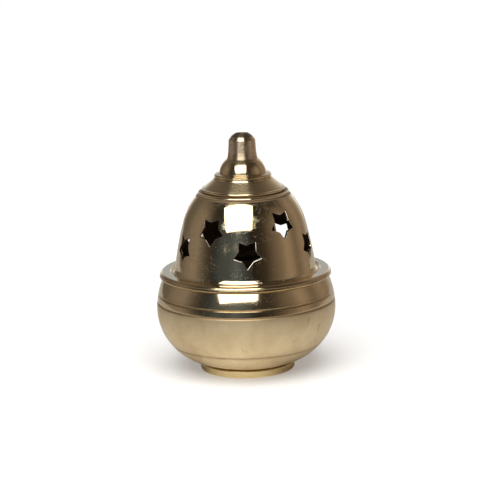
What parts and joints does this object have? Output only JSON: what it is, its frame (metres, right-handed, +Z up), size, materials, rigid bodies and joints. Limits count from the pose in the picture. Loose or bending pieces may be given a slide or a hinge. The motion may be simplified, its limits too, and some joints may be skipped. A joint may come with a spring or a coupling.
{
  "type": "incense burner",
  "caption": "Round brass incense burner on a foot ring, with a lift-off pierced dome lid, a vented finial and a loose ember cup and grate inside.",
  "frame": {"origin": "centre of the foot ring's underside", "axes": "+Z up along the turning axis, -Y the front"},
  "size_m": [0.0764, 0.0764, 0.1015],
  "materials": {
    "bowl_brass": "polished",
    "foot_brass": "polished",
    "flange_brass": "polished",
    "dome_brass": "polished",
    "finial_brass": "polished",
    "hardware_brass": "machined, dulled by smoke",
    "cup_brass": "turned, heat-darkened",
    "grate_brass": "heat-darkened"
  },
  "bodies": {
    "base": {"bowl": "bowl_brass", "foot_ring": "foot_brass"},
    "lid": {"lid_flange_ring": "flange_brass", "lid_dome": "dome_brass", "finial": "finial_brass", "finial_washer": "hardware_brass", "finial_nut": "hardware_brass"},
    "cup": {"ember_cup": "cup_brass"},
    "grate": {"ember_grate": "grate_brass"}
  },
  "joints": [
    {"name": "lid_lift", "type": "slide", "parent": "base", "child": "lid", "axis": [0, 0, 1], "range_m": [0, 0.06]},
    {"name": "cup_lift", "type": "slide", "parent": "base", "child": "cup", "axis": [0, 0, 1], "range_m": [0, 0.038]},
    {"name": "grate_lift", "type": "slide", "parent": "cup", "child": "grate", "axis": [0, 0, 1], "range_m": [0, 0.013]}
  ]
}
